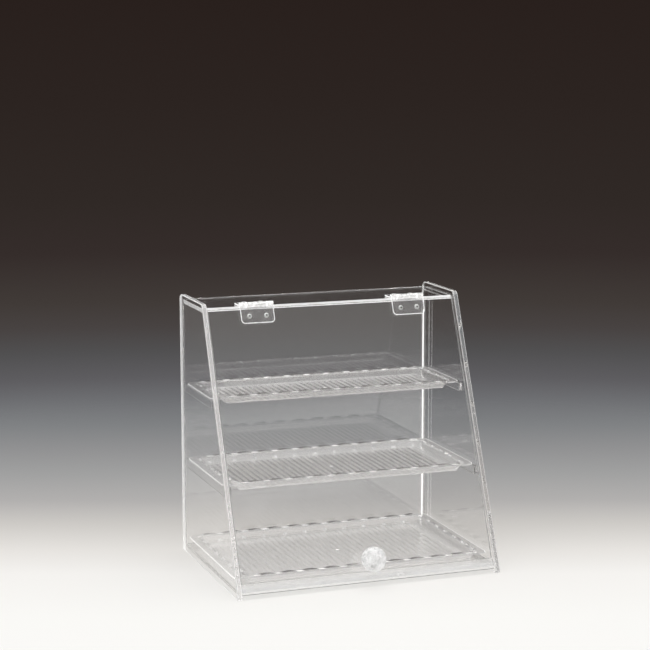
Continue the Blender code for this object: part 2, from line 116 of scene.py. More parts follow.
def local_box(name, matrix=Matrix.Identity(4)):
    """Lowest and highest corners of a CAD node in the axes of matrix."""
    back = np.array(matrix.inverted())
    corners = np.array([v.co for v in frame["nodes"][name].data.vertices], float)
    corners = corners @ back[:3, :3].T + back[:3, 3]
    return Vector(corners.min(0)), Vector(corners.max(0))


side_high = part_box("side_panel_left")[1]
REAR_Y, HEIGHT = side_high.y, side_high.z
FRONT_Y = REAR_Y - DEPTH
FRONT_TOP_Y = REAR_Y - TOP_DEPTH
LEAN = math.atan2(FRONT_TOP_Y - FRONT_Y, HEIGHT)
hinge_joint = next(j for j in frame["joints"] if j["name"] == "door_hinge")
AXIS = Vector(hinge_joint["pos_m"])
# Door's axes: origin on the hinge axis, z up along the door, y towards the inside
DOOR = Matrix.Translation((0, AXIS.y, AXIS.z)) @ Matrix.Rotation(-LEAN, 4, "X")
HINGE_X = abs(sum(corner.x for corner in local_box("hinge_right_pin")) / 2)

# ------------------------------------------------------------------ shader graph


class Graph:
    """Shader nodes of one material or world. All methods but node and finish return sockets."""

    def __init__(self, owner):
        owner.use_nodes = True
        self.tree = owner.node_tree
        self.tree.nodes.clear()

    def link(self, source, target):
        self.tree.links.new(source, target)

    def node(self, kind, inputs=None, **settings):
        """Adds a node; inputs maps a socket's name or index to a value or a socket."""
        made = self.tree.nodes.new("ShaderNode" + kind)
        for key, value in settings.items():
            setattr(made, key, value)
        for key, value in (inputs or {}).items():
            if isinstance(value, bpy.types.NodeSocket):
                self.link(value, made.inputs[key])
            else:
                made.inputs[key].default_value = value
        return made

    def add(self, kind, inputs=None, output=0, **settings):
        return self.node(kind, inputs, **settings).outputs[output]

    def coords(self, kind):
        return self.add("TexCoord", output=kind)

    def split(self, vector):
        return tuple(self.node("SeparateXYZ", {"Vector": vector}).outputs)

    def math(self, operation, *values, clamp=False):
        return self.add("Math", dict(enumerate(values)), operation=operation, use_clamp=clamp)

    def scale(self, vector, factor):
        return self.add("VectorMath", {0: vector, "Scale": factor}, operation="SCALE")

    def mix(self, factor, first, second):
        return self.add("MixShader", {0: factor, 1: first, 2: second})

    def remap(self, value, source, target, smooth=False):
        """Maps the source range to the target range."""
        inputs = {
            "Value": value,
            "From Min": source[0], "From Max": source[1],
            "To Min": target[0], "To Max": target[1],
        }
        kind = "SMOOTHSTEP" if smooth else "LINEAR"
        return self.add("MapRange", inputs, interpolation_type=kind)

    def ramp(self, value, stops):
        """Colour ramp over stops of (position, colour)."""
        made = self.node("ValToRGB", {0: value})
        elements = made.color_ramp.elements
        while len(elements) < len(stops):
            elements.new(1.0)
        for element, (position, colour) in zip(elements, stops):
            element.position = position
            element.color = (*colour, 1.0)
        return made.outputs[0]

    def noise(self, vector, scale, detail=3.0, roughness=0.5, stretch=None, distortion=0.0):
        """Noise; scale is in cycles per metre, stretch multiplies it for each axis."""
        if stretch:
            vector = self.add("Mapping", {"Vector": vector, "Scale": stretch})
        return self.add("TexNoise", {
            "Vector": vector, "Scale": scale, "Detail": detail,
            "Roughness": roughness, "Distortion": distortion,
        })

    def bump(self, height, strength, distance):
        inputs = {"Height": height, "Strength": strength, "Distance": distance}
        return self.add("Bump", inputs)

    def finish(self, shader, kind="Material"):
        self.node("Output" + kind, {"Surface": shader})


def new_material(name):
    material = bpy.data.materials.new(name)
    return material, Graph(material)


def linear(*srgb):
    """Linear colour from sRGB values of 0 to 255."""
    return tuple(
        (c / 255 / 12.92) if c / 255 <= 0.04045 else ((c / 255 + 0.055) / 1.055) ** 2.4
        for c in srgb
    )


# ------------------------------------------------------------------ clear plastics

SAW_STRETCH = {"x": (1.0, 0.02, 0.02), "z": (0.02, 0.02, 1.0)}


def hairlines(graph, coords, depth):
    """Two sets of thin scratches in different directions; 0 between them, depth on them."""
    first = graph.noise(coords, scale=420.0, detail=2.0, roughness=0.6,
                        stretch=(1.0, 0.05, 0.09), distortion=0.4)
    second = graph.noise(coords, scale=510.0, detail=2.0, roughness=0.6,
                         stretch=(0.06, 1.0, 0.8), distortion=0.5)
    return graph.math(
        "MAXIMUM",
        graph.remap(first, source=(0.70, 0.78), target=(0.0, depth), smooth=True),
        graph.remap(second, source=(0.71, 0.79), target=(0.0, depth), smooth=True),
    )


def relief(graph, coords, wave, wave_scale, saw, saw_axis):
    """Height of broad waves plus saw marks, in mm; None for a flat surface."""
    height = None
    if wave:
        swell = graph.noise(coords, scale=wave_scale, detail=2.0, roughness=0.45)
        height = graph.math("MULTIPLY", swell, wave)
    if saw:
        grain = graph.noise(coords, scale=1400.0, detail=3.0, roughness=0.7,
                            stretch=SAW_STRETCH[saw_axis])
        marks = graph.math("MULTIPLY", grain, saw)
        height = marks if height is None else graph.math("ADD", height, marks)
    return height


def milky_scatter(graph, colour, glow):
    """Diffuse and translucent scatter, with an added glow of painted light."""
    colour = (*colour, 1.0)
    scatter = graph.mix(
        0.55,
        graph.add("BsdfDiffuse", {"Color": colour}),
        graph.add("BsdfTranslucent", {"Color": colour}),
    )
    if glow:
        shine = graph.add("Emission", {"Color": (1.0, 1.0, 1.0, 1.0), "Strength": glow})
        scatter = graph.add("AddShader", {0: scatter, 1: shine})
    return scatter


def clear_plastic(name, ior=1.49, tint=(0.996, 0.995, 0.994), roughness=0.0, scratch=0.0,
                  wave=0.0, wave_scale=40.0, saw=0.0, saw_axis="z",
                  haze=0.0, haze_colour=(0.93, 0.925, 0.92), glow=0.0, mottle=0.0,
                  ribs=0.0, rib_shade=0.0):
    """Clear plastic: a refracting body mixed with a share of milky scatter.

    scratch: roughness that hairline scratches add
    haze, glow: share of the scatter, and the light it gives off, which is painted light standing
    in for light the plastic catches
    wave_scale: waves per metre
    haze, glow: share of the scatter, and the light it gives off
    mottle: relative unevenness of the haze
    ribs, rib_shade: swing of the haze over a tray's ribs, a painted highlight on the crests, and
    painted shade as tint lost in their grooves
    """
    material, graph = new_material(name)
    coords = graph.coords("Object")
    smudges = graph.noise(coords, scale=55.0, detail=4.0, roughness=0.6)
    surface = graph.remap(smudges, source=(0.3, 0.75),
                          target=(roughness * 0.5, roughness * 1.5 + 0.004))
    if scratch:
        surface = graph.math("ADD", surface, hairlines(graph, coords, scratch), clamp=True)
    height = relief(graph, coords, wave, wave_scale, saw, saw_axis)
    body = graph.node("BsdfGlass", {"IOR": ior, "Roughness": surface, "Color": (*tint, 1.0)})
    if ribs:
        across = graph.split(coords)[0]
        angle = graph.math("MULTIPLY", across, 2 * math.pi / RIB_PITCH)
        swing = graph.math("COSINE", angle)
    # painted shade: the grooves between the ribs lose some tint
    if rib_shade:
        kept = graph.remap(swing, source=(-1.0, 1.0), target=(1 - rib_shade, 1.0))
        graph.link(graph.scale(tint, kept), body.inputs["Color"])
    if height is not None:
        graph.link(graph.bump(height, strength=1.0, distance=0.001), body.inputs["Normal"])
    result = body.outputs[0]
    if haze:
        scatter = milky_scatter(graph, haze_colour, glow)
        share = haze
        if mottle:
            spots = graph.noise(coords, scale=160.0, detail=4.0, roughness=0.65)
            share = graph.remap(spots, source=(0.35, 0.65),
                                target=(haze * (1 - mottle), haze * (1 + mottle)))
        # painted light: the crests get a larger share of the glowing scatter
        if ribs:  # the crests catch more light than the grooves
            catch = graph.remap(swing, source=(-1.0, 1.0), target=(1 - ribs, 1 + ribs))
            share = graph.math("MULTIPLY", catch, share, clamp=True)
        result = graph.mix(share, result, scatter)
    graph.finish(result)
    return material


# Broad faces of the sheets; the back and riser faces glow with painted light
FACE = clear_plastic("acrylic_polished_face", scratch=0.012, wave=0.003, wave_scale=9.0)
BACK_FACE = clear_plastic("acrylic_back_face", ior=2.0, haze=0.02, glow=0.75, scratch=0.012,
                          wave=0.003, wave_scale=9.0)
RISER_FACE = clear_plastic("acrylic_riser_face", roughness=0.02, haze=0.145, glow=0.62,
                           scratch=0.04, mottle=0.1)

# Polished edges, and the rounded rims between edge and face; their glow is painted light
EDGE = clear_plastic("acrylic_polished_edge", tint=(0.93, 0.93, 0.93), roughness=0.02,
                     haze=0.02, glow=0.1, wave=0.006, wave_scale=14.0, saw=0.0012, mottle=0.3)
RIM = clear_plastic("acrylic_broken_rim", roughness=0.12, haze=0.55, glow=0.10, saw=0.003,
                    mottle=0.15)
# Darker copies of the edge and rim for the left panel's front edge: painted shade
EDGE_PAINTED_SHADE = clear_plastic("acrylic_front_edge_painted_shade", tint=(0.78, 0.775, 0.77), roughness=0.03,
                          haze=0.02, glow=0.1, wave=0.006, wave_scale=14.0, saw=0.0012,
                          mottle=0.3)
RIM_PAINTED_SHADE = clear_plastic("acrylic_front_rim_painted_shade", tint=(0.88, 0.88, 0.875), roughness=0.1,
                         haze=0.34, glow=0.08, saw=0.0015, mottle=0.15)
# Brighter copy of the rim for the rims that face up: painted light from the softbox above
TOP_RIM_PAINTED_LIGHT = clear_plastic("acrylic_top_rim_painted_light", roughness=0.12, haze=0.62, glow=0.42, saw=0.003,
                        mottle=0.12)

# Unpolished ends and joints: their matt scatter is their own, their glow is painted light
SAWN = clear_plastic("acrylic_sawn_edge", roughness=0.22, haze=0.82, glow=0.6, saw=0.05,
                     saw_axis="x", mottle=0.12)
DULL = clear_plastic("acrylic_dull_end", roughness=0.2, haze=0.62, glow=0.35, saw=0.004,
                     mottle=0.06)
BAND = clear_plastic("acrylic_matt_band", roughness=0.2, haze=0.7, glow=0.56, saw=0.004,
                     mottle=0.06)
# Strong glow for the strip by the back panel's right end: painted light
PAINTED_LIGHT_JOINT = clear_plastic("acrylic_joint_painted_light", roughness=0.2, haze=0.8, glow=1.5, saw=0.03,
                       mottle=0.1)

# The rails glow a little: painted light
RAIL = clear_plastic("rail_acrylic_face", roughness=0.02, haze=0.05, glow=0.2, scratch=0.1)

# Trays; their glow is painted light
TRAY_LOOK = dict(ior=1.52, roughness=0.02, haze_colour=(0.94, 0.92, 0.91), scratch=0.08)
WALL_TINT = (0.985, 0.982, 0.98)
FLOOR_TINT = (0.985, 0.98, 0.976)
ROPE_TINT = (0.98, 0.98, 0.98)
TRAY = clear_plastic("tray_moulded_clear", tint=WALL_TINT, haze=0.22, glow=0.42, wave=0.02,
                     wave_scale=26.0, mottle=0.12, **TRAY_LOOK)
TRAY_HIGH = clear_plastic("tray_moulded_clear_high", tint=WALL_TINT, haze=0.17, glow=0.34,
                          wave=0.04, wave_scale=60.0, mottle=0.4, **TRAY_LOOK)
TRAY_FLOOR = clear_plastic("tray_ribbed_floor", tint=FLOOR_TINT, haze=0.2, glow=0.36,
                           wave=0.01, wave_scale=26.0, mottle=0.1, ribs=0.9, rib_shade=0.2,
                           **TRAY_LOOK)
TRAY_BASE = clear_plastic("tray_ribbed_floor_low", tint=FLOOR_TINT, haze=0.26, glow=0.55,
                          wave=0.01, wave_scale=26.0, mottle=0.1, ribs=0.14, **TRAY_LOOK)
# Dark tint on the rope's lobes: painted shade
TRAY_LOBE_PAINTED_SHADE = clear_plastic("tray_rope_lobe_painted_shade", ior=1.52, tint=(0.40, 0.39, 0.385),
                          roughness=0.01, haze=0.03, wave=0.01)
# Glowing marks on the rope's sides and ties: painted highlights
TRAY_BLOB_PAINTED_HIGHLIGHT = clear_plastic("tray_rope_side_painted_highlight", ior=1.52, tint=ROPE_TINT, roughness=0.05,
                          haze=0.5, glow=0.55, mottle=0.5)
TRAY_TIE_PAINTED_HIGHLIGHT = clear_plastic("tray_rope_tie_painted_highlight", ior=1.52, tint=ROPE_TINT, roughness=0.05,
                         haze=0.55, glow=0.9)

# Hinges; their glow is painted light, strongest on the rims
HINGE = clear_plastic("hinge_moulded_clear", ior=1.5, tint=(0.985, 0.985, 0.985),
                      roughness=0.02, haze=0.08, glow=0.2, wave=0.02, wave_scale=110.0,
                      mottle=0.4)
HINGE_RIM = clear_plastic("hinge_moulded_rim", ior=1.5, roughness=0.12, haze=0.72, glow=0.6,
                          wave=0.05, wave_scale=110.0, mottle=0.2)
BARREL = clear_plastic("hinge_moulded_barrel", ior=1.5, roughness=0.04, haze=0.36, glow=0.36,
                       wave=0.12, wave_scale=160.0, mottle=0.6)

# Lower edge of the riser, painted dark as shade, and the knob, whose glow is painted light
SHADE = clear_plastic("acrylic_edge_in_shade", tint=(0.6, 0.6, 0.61), roughness=0.03,
                      haze=0.75, haze_colour=(0.27, 0.27, 0.275), saw=0.003, mottle=0.1)
KNOB = clear_plastic("knob_clear_acrylic", roughness=0.04, haze=0.46, glow=0.25,
                     haze_colour=(0.95, 0.95, 0.95), wave=0.06, wave_scale=90.0,
                     scratch=0.08, mottle=0.5)

# ------------------------------------------------------------------ steel and nylon


def finish_opaque(graph, tone, fine, roughness, bump_strength, **extra):
    """Principled surface whose fine noise drives both roughness, over a range, and bump."""
    graph.finish(graph.add("BsdfPrincipled", {
        "Base Color": tone,
        "Roughness": graph.remap(fine, source=(0.3, 0.7), target=roughness),
        "Normal": graph.bump(fine, strength=bump_strength, distance=0.0002),
        **extra,
    }))


def steel_material(name, colour, roughness, metallic):
    material, graph = new_material(name)
    coords = graph.coords("Object")
    fine = graph.noise(coords, scale=2600.0, detail=4.0, roughness=0.6)
    broad = graph.noise(coords, scale=420.0, detail=3.0, roughness=0.5)
    darker = tuple(c * 0.82 for c in colour)
    tone = graph.ramp(broad, [(0.3, darker), (0.7, colour)])
    finish_opaque(graph, tone, fine, roughness=(roughness * 0.7, roughness * 1.4),
                  bump_strength=0.15, Metallic=metallic)
    return material


def nylon_material(name):
    material, graph = new_material(name)
    coords = graph.coords("Object")
    broad = graph.noise(coords, scale=300.0, detail=4.0, roughness=0.6,
                        stretch=(0.15, 1.0, 1.0))
    fine = graph.noise(coords, scale=1900.0, detail=3.0, roughness=0.6)
    tone = graph.ramp(broad, [(0.3, (0.80, 0.80, 0.77)), (0.7, (0.90, 0.90, 0.88))])
    scatter = {"Subsurface Weight": 0.25, "Subsurface Radius": (0.002, 0.002, 0.002)}
    finish_opaque(graph, tone, fine, roughness=(0.25, 0.42), bump_strength=0.2,
                  IOR=1.53, **scatter)
    return material


STEEL = steel_material("screw_bright_steel", colour=(0.88, 0.88, 0.87), roughness=0.4,
                       metallic=0.55)
# Near-black steel for the screws' recesses: painted shade
RECESS_PAINTED_SHADE = steel_material("screw_recess_painted_shade", colour=(0.10, 0.095, 0.09), roughness=0.5,
                        metallic=0.8)
NYLON = nylon_material("hinge_pin_nylon")

# ------------------------------------------------------------------ mesh helpers


def shade(mesh, sharp):
    """Smooth shading between edges sharper than an angle in degrees."""
    mesh.shade_smooth()
    mesh.set_sharp_from_angle(angle=math.radians(sharp))


def finish_mesh(bm, name, matrix=None, sharp=SHEET_SHARP_ANGLE):
    """Writes a bmesh as a mesh with outward normals."""
    if matrix is not None:
        bmesh.ops.transform(bm, matrix=matrix, verts=bm.verts)
    bmesh.ops.recalc_face_normals(bm, faces=bm.faces)
    mesh = bpy.data.meshes.new(name)
    bm.to_mesh(mesh)
    bm.free()
    shade(mesh, sharp)
    return mesh


def new_object(name, mesh):
    """Visual object for the CAD node of this name."""
    obj = bpy.data.objects.new("v_" + name, mesh)
    scene.collection.objects.link(obj)
    return obj


def register(obj, name, body):
    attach(obj, body)
    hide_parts(name)
    return obj


def weight_normals(obj):
    modifier = obj.modifiers.new("face_weighted_normals", "WEIGHTED_NORMAL")
    modifier.mode = "FACE_AREA"
    modifier.weight = 80
    modifier.keep_sharp = True


def bridge(bm, lower, upper):
    """Band of quads between two rings of the same length."""
    count = len(lower)
    faces = []
    for i in range(count):
        j = (i + 1) % count
        faces.append(bm.faces.new((lower[i], lower[j], upper[j], upper[i])))
    return faces


def cap(bm, rings):
    bm.faces.new(list(reversed(rings[0])))
    bm.faces.new(rings[-1])


def offset_polygon(points, distance):
    """Convex counter-clockwise polygon with every side moved inwards."""
    count = len(points)
    lines = []
    for i in range(count):
        start, end = Vector(points[i]), Vector(points[(i + 1) % count])
        along = (end - start).normalized()
        inward = Vector((-along.y, along.x))
        lines.append((start + inward * distance, along))
    moved = []
    for i in range(count):
        (point, along), (other, ahead) = lines[i - 1], lines[i]
        between = other - point
        cross = along.x * ahead.y - along.y * ahead.x
        moved.append(point + along * ((between.x * ahead.y - between.y * ahead.x) / cross))
    return moved


def rounded(points, radii, steps):
    """Counter-clockwise polygon with an arc of steps + 1 points at each corner."""
    outline = []
    count = len(points)
    for i, radius in enumerate(radii):
        corner = Vector(points[i])
        back = (Vector(points[i - 1]) - corner).normalized()
        ahead = (Vector(points[(i + 1) % count]) - corner).normalized()
        radius = max(radius, SMALLEST_CORNER_R)
        half = back.angle(ahead) / 2
        centre = corner + (back + ahead).normalized() * (radius / math.sin(half))
        start = corner + back * (radius / math.tan(half)) - centre
        first = math.atan2(start.y, start.x)
        sweep = math.pi - 2 * half
        for step in range(steps + 1):
            angle = first + sweep * step / steps
            outline.append(centre + Vector((math.cos(angle), math.sin(angle))) * radius)
    return outline


def rectangle(u0, v0, u1, v1):
    return [(u0, v0), (u1, v0), (u1, v1), (u0, v1)]


# Indices of a sheet's two outline axes and of its thickness axis, by the latter's name
PLANES = {"x": (1, 2, 0), "y": (0, 2, 1), "z": (0, 1, 2)}

# Material slots of a sheet
(FACE_SLOT, EDGE_SLOT, RIM_SLOT, CUT_SLOT,
 LIT_RIM_SLOT, SHADED_EDGE_SLOT, SHADED_RIM_SLOT) = range(7)


def slab(points, radii, low, high, edge_r, axis, segments=3, steps=8):
    """Plate between low and high on an axis, with rounded rims: rings of the outline, inset
    towards both faces."""
    bm = bmesh.new()
    angles = [math.pi / 2 * k / segments for k in range(segments + 1)]
    levels = [(edge_r * (1 - math.cos(a)), low + edge_r * (1 - math.sin(a)))
              for a in reversed(angles)]
    levels += [(edge_r * (1 - math.cos(a)), high - edge_r * (1 - math.sin(a)))
               for a in angles]
    rings = []
    for inset, height in levels:
        ring_radii = [max(r - inset, 0.0) for r in radii]
        ring = []
        for flat in rounded(offset_polygon(points, inset), ring_radii, steps):
            point = Vector((0, 0, 0))
            for index, value in zip(PLANES[axis], (flat.x, flat.y, height)):
                point[index] = value
            ring.append(bm.verts.new(point))
        rings.append(ring)
    for k, (lower, upper) in enumerate(zip(rings, rings[1:])):
        for face in bridge(bm, lower, upper):
            face.material_index = EDGE_SLOT if k == segments else RIM_SLOT
    cap(bm, rings)
    return bm


def split_faces(bm, point, normal):
    """Divides the faces along a plane."""
    bmesh.ops.bisect_plane(bm, geom=bm.verts[:] + bm.edges[:] + bm.faces[:],
                           plane_co=point, plane_no=normal)


def cut(obj, cutters, operation="DIFFERENCE"):
    """Applies Booleans, and drops the cutters."""
    for cutter in cutters:
        scene.collection.objects.link(cutter)
        modifier = obj.modifiers.new(operation.lower(), "BOOLEAN")
        modifier.operation = operation
        modifier.object = cutter
        modifier.solver = "EXACT"
    bpy.context.view_layer.update()
    graph = bpy.context.evaluated_depsgraph_get()
    mesh = bpy.data.meshes.new_from_object(obj.evaluated_get(graph))
    obj.modifiers.clear()
    old = obj.data
    obj.data = mesh
    bpy.data.meshes.remove(old)
    for cutter in cutters:
        bpy.data.objects.remove(cutter, do_unlink=True)


def rod(radius, low, high, matrix, segments=48, chamfer=0.0):
    """Round cutter along local z, from low to high, with optional chamfered ends."""
    rows = [(radius, low), (radius, high)]
    if chamfer:
        rows = [(radius - chamfer, low), (radius, low + chamfer),
                (radius, high - chamfer), (radius - chamfer, high)]
    bm = bmesh.new()
    angles = [2 * math.pi * i / segments for i in range(segments)]
    rings = [[bm.verts.new((r * math.cos(a), r * math.sin(a), z)) for a in angles]
             for r, z in rows]
    for lower, upper in zip(rings, rings[1:]):
        bridge(bm, lower, upper)
    cap(bm, rings)
    return bpy.data.objects.new("cutter", finish_mesh(bm, "rod", matrix))


def prism(polygon, x0, x1):
    """Cutter along x over a polygon given as (y, z)."""
    bm = bmesh.new()
    rings = [[bm.verts.new((x, y, z)) for y, z in polygon] for x in (x0, x1)]
    bridge(bm, *rings)
    cap(bm, rings)
    return bpy.data.objects.new("cutter", finish_mesh(bm, "prism"))


def aim(point, direction):
    """Matrix with its origin at point and local z along direction."""
    turn = Vector(direction).to_track_quat("Z", "X").to_matrix().to_4x4()
    return Matrix.Translation(point) @ turn


# ------------------------------------------------------------------ sheets

UP, DOWN = (0, 0, 1), (0, 0, -1)
TO_FRONT, TO_REAR = (0, -1, 0), (0, 1, 0)
TO_LEFT, TO_RIGHT = (-1, 0, 0), (1, 0, 0)


def drill(obj, axis_index, low, high, holes):
    """Cuts holes of (point, radius) through a sheet, and sorts its polygons into slots anew."""
    direction = Vector((0, 0, 0))
    direction[axis_index] = 1
    cut(obj, [rod(radius, -0.02, 0.02, aim(point, direction)) for point, radius in holes])
    for polygon in obj.data.polygons:
        height = polygon.center[axis_index]
        facing = abs(polygon.normal[axis_index])
        on_face = min(abs(height - low), abs(height - high)) < 0.00002
        if facing > 0.9999 and on_face:
            polygon.material_index = FACE_SLOT
        elif facing < 0.02:
            polygon.material_index = EDGE_SLOT
        else:
            polygon.material_index = RIM_SLOT


def edge_slot(polygon, sawn, keep_clear, lit, painted_shade):
    """Slot of a polygon, given the outward directions of the edges with special finishes."""

    def faces(directions):
        return any(polygon.normal.dot(Vector(d)) > 0.3 for d in directions)

    slot = polygon.material_index
    if slot == FACE_SLOT:
        return slot
    if faces(sawn):
        return CUT_SLOT
    if slot == RIM_SLOT and faces(keep_clear):
        return EDGE_SLOT
    if slot == RIM_SLOT and faces(lit):
        return LIT_RIM_SLOT
    if faces(painted_shade):
        return SHADED_EDGE_SLOT if slot == EDGE_SLOT else SHADED_RIM_SLOT
    return slot


def sheet_piece(name, body, axis, matrix=Matrix.Identity(4), edge_r=SHEET_EDGE_R,
                outline=None, radii=None, holes=(), face=FACE, rim=RIM, cut_end=SAWN,
                sawn=(), keep_clear=(), lit=(), painted_shade=(), dull_behind=None, joint=()):
    """A flat cut sheet with the extents of its CAD node, measured in the axes of matrix.

    sawn, keep_clear, lit, painted_shade: outward directions of edges that take the cut_end
    finish, that have rims as clear as the edge, that have lit rims brightened with painted
    light, and that take darker copies of the edge and rim finishes as painted shade
    dull_behind: y beyond which the right-hand face takes the cut_end finish
    joint: far and near distance from the right end of a strip of cut_end on the front face
    """
    low, high = local_box(name, matrix)
    u, v, through = PLANES[axis]
    points = outline or rectangle(low[u], low[v], high[u], high[v])
    radii = radii or [SHEET_CORNER_R] * len(points)
    bm = slab(points, radii, low[through], high[through], edge_r, axis)
    if dull_behind is not None:
        split_faces(bm, (0, dull_behind, 0), TO_REAR)
    for inset in joint:
        split_faces(bm, (high.x - inset, 0, 0), TO_RIGHT)
    obj = register(new_object(name, finish_mesh(bm, name)), name, body)
    obj.parent = None  # off its body while it is cut in the sheet's own axes
    if holes:
        drill(obj, through, low[through], high[through], holes)

    mesh = obj.data
    slots = [edge_slot(p, sawn, keep_clear, lit, painted_shade) for p in mesh.polygons]
    for i, p in enumerate(mesh.polygons):
        if dull_behind is not None and p.normal.x > 0.9 and p.center.y > dull_behind:
            slots[i] = CUT_SLOT
        if joint and p.normal.y < -0.9 and high.x - joint[0] < p.center.x < high.x - joint[1]:
            slots[i] = CUT_SLOT
    mesh.materials.clear()  # this also resets the polygons' slots
    for material in (face, EDGE, rim, cut_end, TOP_RIM_PAINTED_LIGHT, EDGE_PAINTED_SHADE, RIM_PAINTED_SHADE):
        mesh.materials.append(material)
    for polygon, slot in zip(mesh.polygons, slots):
        polygon.material_index = slot
    mesh.transform(matrix)
    shade(mesh, SHEET_SHARP_ANGLE)
    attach(obj, body)
    weight_normals(obj)


def build_sides():
    shape = dict(
        edge_r=SIDE_EDGE_R,
        outline=[(FRONT_Y, 0.0), (REAR_Y, 0.0), (REAR_Y, HEIGHT), (FRONT_TOP_Y, HEIGHT)],
        radii=[FOOT_R, FOOT_R, CORNER_R, CORNER_R],
        # rims that face up get the brighter rim: painted light
        lit=[UP],
    )
    # The left panel's inner face is matt behind the back panel, and glows there with painted
    # light
    # The left panel's front edge and its rims take darker copies of their finishes: painted
    # shade
    sheet_piece("side_panel_left", "case", "x", sawn=[DOWN, TO_REAR], cut_end=BAND,
                painted_shade=[TO_FRONT], dull_behind=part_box("back_panel")[1].y, **shape)
    sheet_piece("side_panel_right", "case", "x", sawn=[DOWN], cut_end=DULL,
                keep_clear=[TO_REAR], **shape)


def build_case_sheets():
    build_sides()
    # A strip of painted light runs down the back panel near its right end
    sheet_piece("back_panel", "case", "y", edge_r=FINE_EDGE_R, face=BACK_FACE, rim=EDGE,
                cut_end=PAINTED_LIGHT_JOINT, joint=(4.7 * MM, 3.1 * MM))
    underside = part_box("top_panel")[0].z
    holes = [
        (Vector((sign * HINGE_X + dx, AXIS.y + SCREW_FROM_AXIS, underside)), SCREW_HOLE_R)
        for sign in (-1, 1)
        for dx in SCREW_OFFSETS
    ]
    sheet_piece("top_panel", "case", "z", edge_r=FINE_EDGE_R, holes=holes, rim=EDGE,
                sawn=[TO_FRONT, TO_RIGHT, TO_LEFT])
    sheet_piece("base_panel", "case", "z", sawn=[TO_FRONT], cut_end=DULL)
    sheet_piece("front_riser", "case", "y", matrix=DOOR, face=RISER_FACE, rim=EDGE,
                sawn=[DOWN], cut_end=SHADE)
    for level in ("top", "middle"):
        for word in ("left", "right"):
            sheet_piece(f"tray_rail_{level}_{word}", "case", "x", face=RAIL)


def build_door_sheet():
    holes = [(Vector((0, 0, KNOB_ALONG)), KNOB_BORE_R)]
    holes += [
        (Vector((sign * HINGE_X + dx, 0, -SCREW_FROM_AXIS)), SCREW_HOLE_R)
        for sign in (-1, 1)
        for dx in SCREW_OFFSETS
    ]
    sheet_piece("door_panel", "door", "y", matrix=DOOR, holes=holes)


# ------------------------------------------------------------------ turned pieces


def turned(name, body, rows, matrix, material, segments, sharp=40):
    """Solid of revolution about local z. Each row is (radius, z) or (radius, z, sides): with
    sides, the ring is drawn as that regular polygon, for a driving recess."""
    bm = bmesh.new()
    rings = []
    for radius, z, *sides in rows:
        if not radius:
            rings.append([bm.verts.new((0, 0, z))])
            continue
        ring = []
        for i in range(segments):
            a = 2 * math.pi * i / segments
            r = radius
            if sides:
                step = 2 * math.pi / sides[0]
                r = radius * math.cos(step / 2) / math.cos((a % step) - step / 2)
            ring.append(bm.verts.new((r * math.cos(a), r * math.sin(a), z)))
        rings.append(ring)
    for lower, upper in zip(rings, rings[1:]):
        for i in range(segments):
            j = (i + 1) % segments
            if len(lower) == 1:
                bm.faces.new((lower[0], upper[i], upper[j]))
            elif len(upper) == 1:
                bm.faces.new((lower[i], upper[0], lower[j]))
            else:
                bm.faces.new((lower[i], upper[i], upper[j], lower[j]))
    mesh = finish_mesh(bm, "v_" + name, matrix, sharp)
    mesh.materials.append(material)
    return register(new_object(name, mesh), name, body)


def darken_recess(obj, matrix, radius, beyond, side):
    """Painted shade for a screw's driving recess: everything inside radius, on one side of the
    height beyond."""
    obj.data.materials.append(RECESS_PAINTED_SHADE)
    back = matrix.inverted()
    for polygon in obj.data.polygons:
        at = back @ polygon.center
        if math.hypot(at.x, at.y) < radius and (at.z - beyond) * side > 0:
            polygon.material_index = 1


def on_door_face(y):
    """Axes on the knob's line with local z towards the inside."""
    turn = Matrix.Rotation(-math.pi / 2, 4, "X")
    return DOOR @ Matrix.Translation((0, y, KNOB_ALONG)) @ turn


def build_knob():
    """Ball, neck and foot, with a blind bore; z = 0 at the ball's centre."""
    bore_end = KNOB_STANDOFF - 15.0 * MM
    foot_z = KNOB_STANDOFF - 0.2 * MM
    rows = [
        # bore
        (0.0, bore_end - 0.9 * MM),
        (KNOB_BORE_R * 0.6, bore_end - 0.4 * MM),
        (KNOB_BORE_R, bore_end + 0.3 * MM),
        (KNOB_BORE_R, foot_z - 0.4 * MM),
        (KNOB_BORE_R + 0.3 * MM, foot_z),
        # foot and neck
        (7.1 * MM, foot_z),
        (7.4 * MM, foot_z - 0.3 * MM),
        (7.4 * MM, foot_z - 0.9 * MM),
        (7.0 * MM, foot_z - 1.3 * MM),
        (6.4 * MM, foot_z - 1.8 * MM),
    ]
    steps = 48
    leave = math.asin(KNOB_NECK_R / KNOB_R)  # angle at which the ball leaves the neck
    for i in range(steps + 1):
        a = leave + (math.pi - leave) * i / steps
        rows.append((KNOB_R * math.sin(a) if i < steps else 0.0, KNOB_R * math.cos(a)))
    turned("door_knob", "door", rows, on_door_face(DOOR_FACE_Y - KNOB_STANDOFF), KNOB,
           segments=96, sharp=50)


